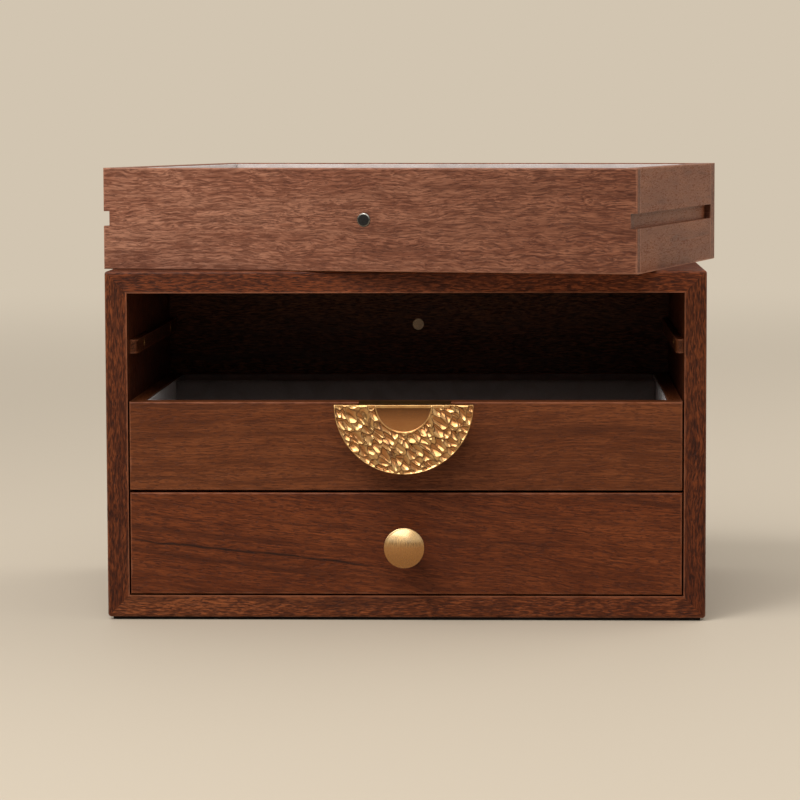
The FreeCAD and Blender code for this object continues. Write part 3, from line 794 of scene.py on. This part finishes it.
def dent_group():
    """Hammer dents, towards +Y, on the points whose attribute hammered is above 0. The dents are
    longer one way, which a Lean below 0 turns from X down towards -Z. The attributes dent and
    ridge say how deep a point is and how near to the ridge between two dents."""
    group = Group("Hammer Dents", "GeometryNodeTree", {
        "Geometry": "Geometry", "Dent Width": 0.0038, "Dent Length": 0.0066,
        "Dent Depth": 0.0014, "Tilt": 0.95, "Lean": -0.95, "Seed": 0.0, "Material": "Material"},
        {"Geometry": "Geometry"})
    turned = group.add("ShaderNodeVectorRotate", 0, {
        "Vector": group.add("GeometryNodeInputPosition"), "Angle": group["Lean"]},
        rotation_type="Y_AXIS")
    across = 1.0 / group["Dent Width"]
    shift = (turned * group.xyz(1.0 / group["Dent Length"], across, across)
             + group.xyz(group["Seed"], group["Seed"]))
    drift = group.add("ShaderNodeTexNoise", "Color", {"Vector": shift, "Scale": 0.55,
                                                      "Detail": 1.0})
    bent = shift + drift * (1.5, 1.5, 1.5)

    def cells(feature, output, **more):
        return group.add("ShaderNodeTexVoronoi", output, {
            "Vector": bent, "Scale": 1.0, "Randomness": 0.9, **more}, feature=feature)

    distance = cells("SMOOTH_F1", "Distance", Smoothness=0.12)
    bowl = (distance * distance).ramp(0.0, 0.6, 1.0, 0.0, "LINEAR")
    ridge = cells("DISTANCE_TO_EDGE", "Distance").ramp(0.0, 0.09, 1.0, 0.0)
    middle, chance = cells("F1", ("Position", "Color"))
    # All dents lean the same way, each by its own amount, and none may pierce the plate
    tilt = (bent - middle).by("DOT_PRODUCT", chance + (-1.6, -0.5, -0.5))
    blow = (bowl + tilt * group["Tilt"]).at_least(0.0).at_most(1.3)
    marked = group.add("GeometryNodeInputNamedAttribute", "Attribute", {"Name": "hammered"},
                       data_type="FLOAT")
    depth = blow * marked
    shape = group["Geometry"]
    for name, value in (("dent", depth), ("ridge", ridge * marked)):
        shape = group.shape("GeometryNodeStoreNamedAttribute", shape,
                            {"Name": name, "Value": value}, data_type="FLOAT", domain="POINT")
    shape = group.shape("GeometryNodeSetPosition", shape, {
        "Offset": group.xyz(0.0, depth * group["Dent Depth"])})
    shape = group.shape("GeometryNodeRealizeInstances", shape)
    return group.end_with_material(shape)


def brass_finish(name, clean, stained, rough, line_length, line_width=0.08 * MM, at=ORIGIN,
                 turn=ORIGIN):
    """Brass with brush lines along its frame's X."""
    finish = Finish(name, Metallic=1.0, Coat_Weight=0.5, Coat_Roughness=0.12, Coat_IOR=1.6)
    finish.use("Brushed Metal", 0.006 * MM, {
        "Vector": finish.coordinates(at, turn), "Length": line_length, "Width": line_width,
        "Roughness": rough, "Clean": clean, "Stained": stained})
    return finish


def tint_dents_and_paint_shade(finish):
    """Makes brass darker in its dents, as patina in the hollows. Paints shade along the ridges
    between the dents, and paints the plain dish darker, with more painted shade towards its top.
    """
    settings = chosen("brass")
    for label, low, most, tone in (("dent", 0.4, 0.9, settings.pit),
                                   ("dish", 0.0, 1.0, settings.pit),
                                   ("dish", 0.7, 0.5, settings.outline),
                                   ("ridge", 0.0, 0.8, settings.outline)):
        finish.tint(finish.attribute(label).ramp(low, 1.0, 0.0, most), tone)
    worked = finish.attribute("hammered").at_least(finish.attribute("dish"))
    finish.set("Roughness", finish.under("Roughness") + worked.ramp(0.0, 0.5, 0.18, 0.0))


def half_moon_mesh(radius, inner, thick, dish, rim, step, flange, flange_depth):
    """A half-moon plate that hangs from z = 0 with its face at y = 0 and its back at y = thick,
    and a flange along its straight edge. Points of the hammered face carry how much they give in
    the attribute hammered, and those of the dish carry the attribute dish, which runs from 1 at the
    top to about 0.7 at the bottom and sets the dish's painted shade."""
    mesh = bmesh.new()
    weight = mesh.verts.layers.float.new("hammered")
    dish_with_painted_shade = mesh.verts.layers.float.new("dish")
    turns = max(48, round(math.pi * radius / step))
    smooth = round((inner - 2 * dish) / (2 * step))
    count = max(8, round((radius - inner) / step))
    radii = ([(inner - 2 * dish) * i / smooth for i in range(smooth + 1)] + [inner - dish, inner]
             + [inner + (radius - inner) * i / count for i in range(1, count + 1)])
    bevel, bend, slope, hollow, tiny = 0.25 * MM, 0.8 * MM, 0.5, 0.36 * MM, 1e-9

    def face_y(r, z):
        if r <= inner - dish:
            return dish + hollow * (max(z + 0.6 * inner, 0.0) / (0.6 * inner)) ** 2
        if r < inner - tiny:
            return dish * 0.5
        return bevel if r > radius - tiny else 0.0

    def ring(r, front):
        row = []
        for i in range(turns + 1):
            if r == 0.0 and row:
                row.append(row[0])
                continue
            angle = math.pi * i / turns
            x, z = -r * math.cos(angle), -r * math.sin(angle)
            face = face_y(r, z)
            vert = mesh.verts.new((x, max(face, face + slope * (bend + z)) if front else thick, z))
            if front:
                # The dish's value falls from 1 at the top to 0.7 at the bottom; it sets the dish's
                # painted shade
                vert[dish_with_painted_shade] = 1.0 + 0.3 * z / inner if r < inner - 0.5 * dish else 0.0
                edge = min(r - inner, radius - r, -z)
                vert[weight] = min(max(edge / rim, 0.0), 1.0) ** 2 if inner < r < radius else 0.0
            row.append(vert)
        return row

    rings = [ring(r, True) for r in radii]
    back = [ring(r, False) for r in (radius, 0.0)]
    skin(mesh, rings + back, closed=False)
    straight = [row[0] for row in reversed(rings)] + [row[-1] for row in rings[1:]]
    mesh.faces.new(straight + [back[0][-1], back[1][0], back[0][0]])
    add_block(mesh, Vector((-flange / 2, 0.3 * MM, -thick)), Vector((flange / 2, flange_depth, 0)),
              ease=0.3 * MM, step=4 * MM)
    return mesh


class JEWELLERY_OT_pulls(bpy.types.Operator):
    """Build the two hammered half-moon pulls"""
    bl_idname = "jewellery_box.pulls"
    bl_label = "Half-Moon Pulls"

    def execute(self, context):
        settings = chosen("brass")
        low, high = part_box("middle_drawer_pull")
        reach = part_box("middle_drawer_front")[0].y - low.y
        for index, drawer in enumerate(("middle_drawer", "top_drawer")):
            hangs = drawer == "middle_drawer"
            bottom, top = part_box(drawer + "_front")
            whole = (drawer_place(drawer)
                     @ Matrix.Translation((0, -reach, top.z - bottom.z if hangs else 0))
                     @ (Matrix() if hangs else Matrix.Diagonal((1, 1, -1, 1))))
            mesh = half_moon_mesh(radius=(high.x - low.x) / 2, inner=13.8 * MM, thick=1.6 * MM,
                                  dish=0.4 * MM, rim=settings.rim, step=settings.mesh_step,
                                  flange=46 * MM, flange_depth=high.y - low.y)
            finish = brass_finish("hammered brass " + drawer, settings.tone, settings.pit,
                                  rough=0.12, line_length=12 * MM, at=whole.translation,
                                  turn=(0, 0, turn_of(drawer)))
            tint_dents_and_paint_shade(finish)
            piece = new_object(drawer + "_half_moon", mesh, finish.material)
            run_group(piece, "Hammer Dents", {
                "Dent Width": settings.dent_width, "Dent Length": settings.dent_length,
                "Dent Depth": settings.dent_depth, "Seed": float(settings.seed + index),
                "Material": finish.material})
            piece.data.transform(whole)
            if whole.determinant() < 0:
                piece.data.flip_normals()
            declare(piece, drawer, "hammered_brass", drawer + "_pull")
        return {"FINISHED"}


class JEWELLERY_OT_knob(bpy.types.Operator):
    """Turn the round knob"""
    bl_idname = "jewellery_box.knob"
    bl_label = "Round Knob"

    def execute(self, context):
        settings = chosen("brass")
        low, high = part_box("bottom_drawer_knob")
        middle = (low + high) / 2
        radius, reach = (high.x - low.x) / 2, high.y - low.y
        crown, rim, ease = 2.4 * MM, 1.8 * MM, 0.55 * MM
        neck, flare, base = 4.0 * MM, 3.4 * MM, 6.0 * MM
        dome_steps, ease_steps, flare_steps = 16, 8, 12
        ball = (radius ** 2 + crown ** 2) / (2 * crown)
        face = radius - ease

        def dome(r):
            return reach - ball + math.sqrt(ball ** 2 - r ** 2)

        def quarter(steps):
            return [QUARTER_TURN * i / steps for i in range(steps + 1)]

        profile = [(0.0, reach)]
        profile += [(face * i / dome_steps, dome(face * i / dome_steps))
                    for i in range(1, dome_steps)]
        profile += [(face + ease * math.sin(angle), dome(face) - ease * (1 - math.cos(angle)))
                    for angle in quarter(ease_steps)]
        profile += [(neck + (radius - neck) * math.cos(angle) ** 1.1,
                     reach - crown - rim - flare * math.sin(angle))
                    for angle in quarter(flare_steps)]
        profile += [(neck, 2.8 * MM), (neck + 0.6 * MM, 2.1 * MM), (base - 0.4 * MM, 1.6 * MM),
                    (base, 1.2 * MM), (base, 0.0), (0.0, 0.0)]
        mesh = turned_mesh(profile, segments=128)
        bmesh.ops.translate(mesh, vec=Vector((middle.x, high.y, middle.z)), verts=mesh.verts)
        finish = brass_finish("satin brass knob", settings.pale, settings.tone, rough=0.26,
                              line_length=14 * MM, line_width=0.4 * MM, at=middle,
                              turn=(0, QUARTER_TURN, 0))
        # Painted highlight and painted shade: the pale upper half stands for the light that it
        # reflects, and the darker lower half for darker surroundings
        height = finish.split(finish.coordinates(middle))[2]
        finish.tint(height.ramp(-0.2 * MM, 5 * MM, 1.0, 0.0), settings.deep)
        declare(new_object("bottom_drawer_round_knob", mesh, finish.material), "bottom_drawer",
                "satin_brass", "bottom_drawer_knob")
        return {"FINISHED"}


class JEWELLERY_OT_fastenings(bpy.types.Operator):
    """Finish the screws, magnets and catch discs"""
    bl_idname = "jewellery_box.fastenings"
    bl_label = "Screws and Catches"

    def execute(self, context):
        settings = chosen("brass")
        screw = brass_finish("screw brass", settings.tone, settings.pit, rough=0.34,
                             line_length=2 * MM)
        steel = brass_finish("nickel", colour(118, 92, 64), colour(88, 66, 44), rough=0.3,
                             line_length=3 * MM)
        dress(screw.material, "runner_screws", "middle_drawer_pull_screws",
              "top_drawer_pull_screws")
        dress(steel.material, "catch_magnets", "bottom_drawer_knob_screw")
        black = Finish("black steel", Specular_IOR_Level=0.3)
        black.use("Brushed Metal", 0.004 * MM, {
            "Vector": black.coordinates(), "Length": 4 * MM, "Roughness": 0.3,
            "Clean": colour(12, 12, 12), "Stained": colour(24, 24, 23)})
        bright = black.attribute("bright")
        black.tint(bright, colour(112, 108, 102))
        black.set("Metallic", bright)
        black.set("Roughness", black.under("Roughness") - bright * 0.15)
        for drawer in DRAWERS:
            node = drawer + "_catch_disc"
            low, high = solids_of(node, drawer)[0]
            radius, deep, edge = (high.x - low.x) / 2, high.y - low.y, 0.5 * MM
            mesh = turned_mesh([
                (0.0, deep), (radius - 2 * edge, deep), (radius - 1.05 * edge, deep),
                (radius - edge, deep - 0.02 * MM), (radius - 0.05 * MM, deep - 0.45 * edge),
                (radius, deep - 0.5 * edge), (radius, deep - 0.6 * edge), (radius, 0.0),
                (0.0, 0.0)], segments=64)
            shiny = mesh.verts.layers.float.new("bright")
            for vert in mesh.verts:
                out = math.hypot(vert.co.x, vert.co.z)
                vert[shiny] = 1.0 if out > radius - 1.02 * edge and -vert.co.y > edge else 0.0
            middle = Vector(((low.x + high.x) / 2, low.y, (low.z + high.z) / 2))
            to_place = (drawer_place(drawer) @ Matrix.Translation(middle)
                        @ Matrix.Diagonal((1, -1, 1, 1)))
            bmesh.ops.transform(mesh, matrix=to_place, verts=mesh.verts)
            declare(new_object(drawer + "_black_disc", mesh, black.material), drawer,
                    "black_steel", node)
        return {"FINISHED"}


# Velvet and felt


def drawer_velvet(drawer, upright=False):
    """The drawer's velvet, turned with it. Its painted-shade copy is darker, as painted shade deep
    in the drawers.
    """
    name = "velvet %s %s" % (drawer, "upright" if upright else "lying")
    made = bpy.data.materials.get(name)
    if made:
        return made
    settings = chosen("velvet")
    finish = Finish(name, Specular_IOR_Level=0.12, Sheen_Weight=0.5, Sheen_Roughness=0.4)
    shade = [settings.upright if upright else 1.0] * 3
    finish.use("Pile Fabric", 0.16 * MM, {
        "Vector": finish.drawer_coordinates(drawer), "Nap": settings.nap,
        "Pile": settings.pile, "Flat": shaded(settings.tone, shade),
        "Brushed": shaded(settings.shade, shade)})
    return finish.material


def velvet_blocks(name, drawer, node, blocks, ease, drop=0.0, upright=False):
    """One piece of velvet-covered blocks that stands for a CAD node. Their tops drop towards
    their edges."""
    settings = chosen("velvet")
    ripple = settings.ripple
    mesh = bmesh.new()

    def shape(point, share_of):
        edge = 1 - (1 - abs(share_of.x) ** 6) * (1 - abs(share_of.y) ** 6)
        lift = wander(point, 14 * MM, ripple, 1) - ripple - drop * edge
        return point + Vector((wander(point, 11 * MM, ripple, 2) * 0.5,
                               wander(point, 11 * MM, ripple, 3) * 0.5,
                               lift * ((share_of.z + 1) / 2)))

    for low, high in blocks:
        add_block(mesh, low, high, ease, settings.step, shape)
    bmesh.ops.transform(mesh, matrix=drawer_place(drawer), verts=mesh.verts)
    return declare(new_object(name, mesh, drawer_velvet(drawer, upright)), drawer, "velvet", node)


class JEWELLERY_OT_wall_linings(bpy.types.Operator):
    """Line the drawers' walls with velvet-covered card"""
    bl_idname = "jewellery_box.wall_linings"
    bl_label = "Wall Linings"

    def execute(self, context):
        settings = chosen("velvet")
        thick = settings.card
        for drawer in DRAWERS:
            node = drawer + "_wall_lining"
            low, high = solids_of(node, drawer)[0]
            left, right = low.x + thick, high.x - thick
            cards = [(low, Vector((left, high.y, high.z))),
                     (Vector((right, low.y, low.z)), high),
                     (Vector((left, low.y, low.z)), Vector((right, low.y + thick, high.z))),
                     (Vector((left, high.y - thick, low.z)), Vector((right, high.y, high.z)))]
            piece = velvet_blocks(drawer + "_velvet_walls", drawer, node, cards, settings.ease)
        return {"FINISHED"}


class JEWELLERY_OT_floor_pads(bpy.types.Operator):
    """Lay the drawers' padded velvet floors"""
    bl_idname = "jewellery_box.floor_pads"
    bl_label = "Floor Pads"

    def execute(self, context):
        for drawer in DRAWERS:
            node = drawer + "_floor_pad"
            # Painted shade: the floor pads take the darker velvet
            piece = velvet_blocks(drawer + "_velvet_floor", drawer, node,
                                  solids_of(node, drawer), ease=1.2 * MM, drop=0.6 * MM,
                                  upright=True)
        return {"FINISHED"}


class JEWELLERY_OT_dividers(bpy.types.Operator):
    """Build the velvet-covered dividers"""
    bl_idname = "jewellery_box.dividers"
    bl_label = "Dividers"

    def execute(self, context):
        for node, drawer in (("middle_drawer_cross_divider", "middle_drawer"),
                             ("ring_divider", "top_drawer"), ("column_divider", "top_drawer"),
                             ("row_dividers", "top_drawer")):
            # Painted shade: the middle drawer's divider takes the darker velvet
            piece = velvet_blocks("velvet_" + node, drawer, node, solids_of(node, drawer),
                                  ease=1.5 * MM, upright=drawer == "middle_drawer")
        return {"FINISHED"}


def roll_group():
    """A row of soft rolls along Y, each lying along X with a crowned top. Lengths in metres."""
    group = Group("Ring Rolls", "GeometryNodeTree", {
        "Geometry": "Geometry", "Size": (0.09, 0.023, 0.03), "Crown": 0.008, "Count": 7,
        "Pitch": 0.024, "Unevenness": 0.0004, "Material": "Material"}, {"Geometry": "Geometry"})
    crown = group["Crown"]
    length, depth, height = group.split(group["Size"])
    block = group.add("GeometryNodeMeshCube", "Mesh", {
        "Size": (2.0, 2.0, 2.0), "Vertices X": 60, "Vertices Y": 22, "Vertices Z": 12})
    x, y, z = group.split(group.add("GeometryNodeInputPosition"))

    def room(value, exponent, root):
        return (1.0 - abs(value) ** exponent).at_least(0.0) ** root

    end_drop = (1.0 - room(x, 14.0, 0.4)) * (crown * 0.5)
    top = height - (1.0 - room(y, 2.0, 0.5)) * crown - end_drop
    tuck = (abs(z) ** 6.0).by("MULTIPLY_ADD", -0.06, 1.0)
    end_tuck = (abs(y) ** 4.0).by("MULTIPLY_ADD", -0.018, 1.0)
    roll = group.shape("GeometryNodeSetPosition", block, {"Position": group.xyz(
        x * (length * 0.5) * end_tuck, y * (depth * 0.5) * tuck,
        z.by("MULTIPLY_ADD", 0.5, 0.5) * top)})
    row = group.add("GeometryNodeMeshLine", "Mesh", {
        "Count": group["Count"], "Offset": group.xyz(0.0, group["Pitch"])})
    laid = group.add("GeometryNodeInstanceOnPoints", "Instances", {"Points": row,
                                                                   "Instance": roll})
    shape = group.shape("GeometryNodeRealizeInstances", laid)
    point = group.add("GeometryNodeInputPosition")
    lumps = group.add("ShaderNodeTexNoise", "Color", {"Vector": point, "Scale": 90.0,
                                                      "Detail": 2.0})
    amount = group.split(point)[2] / height * group["Unevenness"]
    offset = group.add("ShaderNodeVectorMath", "Vector", {
        0: lumps - (0.5, 0.5, 0.62), "Scale": amount}, operation="SCALE")
    shape = group.shape("GeometryNodeSetPosition", shape, {"Offset": offset})
    shape = group.shape("GeometryNodeSetShadeSmooth", shape)
    return group.end_with_material(shape)


class JEWELLERY_OT_ring_rolls(bpy.types.Operator):
    """Build the padded rolls that hold rings"""
    bl_idname = "jewellery_box.ring_rolls"
    bl_label = "Ring Rolls"

    def execute(self, context):
        rolls = solids_of("ring_rolls", "top_drawer")
        low, high = rolls[0]
        piece = linked("ring_cushions", bpy.data.meshes.new("ring_cushions"))
        run_group(piece, "Ring Rolls", {
            "Size": high - low, "Crown": 8 * MM, "Count": len(rolls),
            "Pitch": rolls[1][0].y - low.y, "Unevenness": 0.8 * MM,
            "Material": drawer_velvet("top_drawer")})
        first = Vector(((low.x + high.x) / 2, (low.y + high.y) / 2, low.z))
        piece.data.transform(drawer_place("top_drawer") @ Matrix.Translation(first))
        declare(piece, "top_drawer", "velvet", "ring_rolls")
        return {"FINISHED"}


class JEWELLERY_OT_felt(bpy.types.Operator):
    """Lay the felt sheet under the cabinet"""
    bl_idname = "jewellery_box.felt"
    bl_label = "Base Felt"

    def execute(self, context):
        low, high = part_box("base_felt")
        mesh = bmesh.new()
        give = 0.35 * MM

        def shape(point, share_of):
            inward = Vector((-share_of.x ** 9, -share_of.y ** 9, 0)) * give
            return point + inward * (1 + wander(point, 3 * MM, 1.0, 4))

        add_block(mesh, low, high, 0.4 * MM, step=4 * MM, shape=shape)
        finish = Finish("dark felt", Specular_IOR_Level=0.1, Sheen_Weight=0.2)
        finish.use("Pile Fabric", 0.2 * MM, {
            "Vector": finish.coordinates(low), "Nap": 6 * MM, "Pile": 0.6 * MM,
            "Flat": colour(34, 28, 26), "Brushed": colour(22, 18, 17)})
        piece = declare(new_object("cabinet_felt", mesh, finish.material), "cabinet", "felt",
                        "base_felt")
        return {"FINISHED"}


# Stage

WARM = (1.0, 0.98, 0.95)
SENSOR = 36.0
FLOOR_RADIUS = 30.0


def place_thing(name, data, place, rotation):
    """Puts a lamp or a camera in the scene."""
    made = linked(name, data)
    made.location = place
    made.rotation_mode = "QUATERNION"
    made.rotation_quaternion = rotation
    return made


def aim(place, target):
    return (Vector(target) - Vector(place)).to_track_quat("-Z", "Y")


def add_lamp(name, place, power, width, height, mirrored=True):
    """A rectangular lamp that shines at the box. It can be kept out of reflections."""
    data = bpy.data.lights.new(name, "AREA")
    data.shape, data.size, data.size_y = "RECTANGLE", width, height
    data.energy, data.color = power, WARM
    place_thing(name, data, place, aim(place, (0.0, 0.0, 0.1))).visible_glossy = mirrored


def shown_directly(nodes):
    """1 for camera, glossy and transmission rays, 0 for the rays that light things."""
    camera, glossy, through = nodes.add("ShaderNodeLightPath", (
        "Is Camera Ray", "Is Glossy Ray", "Is Transmission Ray"))
    return camera.at_least(glossy.at_least(through))


def add_floor(settings):
    """A plain disc that fades into the backdrop far away."""
    mesh = bmesh.new()
    bmesh.ops.create_circle(mesh, cap_ends=True, segments=96, radius=FLOOR_RADIUS)
    data = bpy.data.meshes.new("floor")
    mesh.to_mesh(data)
    mesh.free()
    finish = Finish("floor", Roughness=0.7, Specular_IOR_Level=0.2,
                    Base_Color=settings.floor)
    away = finish.add("ShaderNodeTexCoord", "Object").by("LENGTH")
    glow = finish.add("ShaderNodeEmission", "Emission", {"Color": settings.backdrop})
    both = finish.add("ShaderNodeMixShader", "Shader", {
        0: away.ramp(0.7, 3.2) * shown_directly(finish),
        1: Output(finish, finish.shader.outputs["BSDF"]), 2: glow})
    finish.join(both, finish.tree.nodes["Material Output"].inputs["Surface"])
    data.materials.append(finish.material)
    linked("floor", data)


def studio_world(settings):
    """Soft light from above and from the sides and back. Mirrors see a bright studio above a dark
    line, and the camera the backdrop."""
    world = bpy.data.worlds.new("studio")
    world.use_nodes = True
    nodes = Nodes(world.node_tree)
    nodes.tree.nodes.clear()
    across, back, height = nodes.split(nodes.add("ShaderNodeTexCoord", "Generated"))
    backdrop = settings.backdrop
    mirrored = nodes.mix(height.ramp(0.1, 0.2), colour(96, 90, 82),
                         colour(250, 246, 238))
    mirrored = nodes.mix(height.ramp(0.0, 0.07), backdrop, mirrored)
    seen = nodes.mix(nodes.add("ShaderNodeLightPath", "Is Camera Ray"), mirrored, backdrop)
    beside = back.at_most(0.0).by("MULTIPLY_ADD", 0.9, across).at_least(back).ramp(0.25, 0.75)
    low = nodes.mix(beside, colour(40, 39, 38), colour(170, 166, 160))
    lit = nodes.mix(height.ramp(0.35, 0.7), low, colour(212, 209, 205))
    light = nodes.add("ShaderNodeBackground", "Background", {
        "Color": nodes.mix(shown_directly(nodes), lit, seen), "Strength": 1.0})
    nodes.join(light, nodes.tree.nodes.new("ShaderNodeOutputWorld").inputs["Surface"])
    return world


class JEWELLERY_OT_stage(bpy.types.Operator):
    """Set up the floor, the lights and the camera"""
    bl_idname = "jewellery_box.stage"
    bl_label = "Studio"

    def execute(self, context):
        scene = context.scene
        settings = chosen("studio")
        scene.view_settings.view_transform = "Standard"
        add_floor(settings)

        data = bpy.data.lights.new("key", "SUN")
        data.energy, data.angle = settings.key_power, settings.key_spread
        place_thing("key", data, ORIGIN, aim((-0.42, -0.56, 0.78), ORIGIN))
        add_lamp("softbox", (-0.7, -1.3, 1.35), settings.softbox_power, width=2.6, height=1.15)
        add_lamp("fill", (1.35, 0.7, 0.85), settings.fill_power, width=1.6, height=1.2,
                 mirrored=False)
        scene.world = studio_world(settings)

        data = bpy.data.cameras.new("camera")
        data.lens, data.sensor_width = settings.lens, SENSOR
        facing = (Matrix.Rotation(settings.yaw, 3, "Z")
                  @ Matrix.Rotation(QUARTER_TURN - settings.pitch, 3, "X")
                  @ Matrix.Rotation(settings.roll, 3, "Z"))
        scene.camera = place_thing("camera", data, settings.camera_place, facing.to_quaternion())
        return {"FINISHED"}


class JEWELLERY_PT_panel(bpy.types.Panel):
    """The steps in the order in which they are run"""
    bl_label = "Jewellery Box"
    bl_idname = "JEWELLERY_PT_panel"
    bl_space_type = "VIEW_3D"
    bl_region_type = "UI"
    bl_category = "Jewellery Box"

    def draw(self, context):
        for maker in OPERATORS:
            self.layout.operator(maker.bl_idname)
        for label in SETTINGS:
            settings = getattr(context.scene, label)
            box = self.layout.box()
            for name in settings.bl_rna.properties.keys():
                if name not in ("name", "rna_type"):
                    box.prop(settings, name)


OPERATORS = (JEWELLERY_OT_stage, JEWELLERY_OT_cabinet_boards, JEWELLERY_OT_drawer_boards,
             JEWELLERY_OT_fastenings, JEWELLERY_OT_pulls, JEWELLERY_OT_knob,
             JEWELLERY_OT_wall_linings, JEWELLERY_OT_floor_pads, JEWELLERY_OT_dividers,
             JEWELLERY_OT_ring_rolls, JEWELLERY_OT_felt)
SETTINGS = {"jewellery_box_walnut": WalnutSettings, "jewellery_box_brass": BrassSettings,
            "jewellery_box_velvet": VelvetSettings, "jewellery_box_studio": StudioSettings}
CLASSES = (*SETTINGS.values(), *OPERATORS, JEWELLERY_PT_panel)


def register():
    for made in CLASSES:
        bpy.utils.register_class(made)
    for label, made in SETTINGS.items():
        setattr(bpy.types.Scene, label, PointerProperty(type=made))


def unregister():
    for label in SETTINGS:
        delattr(bpy.types.Scene, label)
    for made in reversed(CLASSES):
        bpy.utils.unregister_class(made)


def main():
    register()
    for maker in OPERATORS:
        group, name = maker.bl_idname.split(".")
        getattr(getattr(bpy.ops, group), name)()


if __name__ == "__main__":
    main()
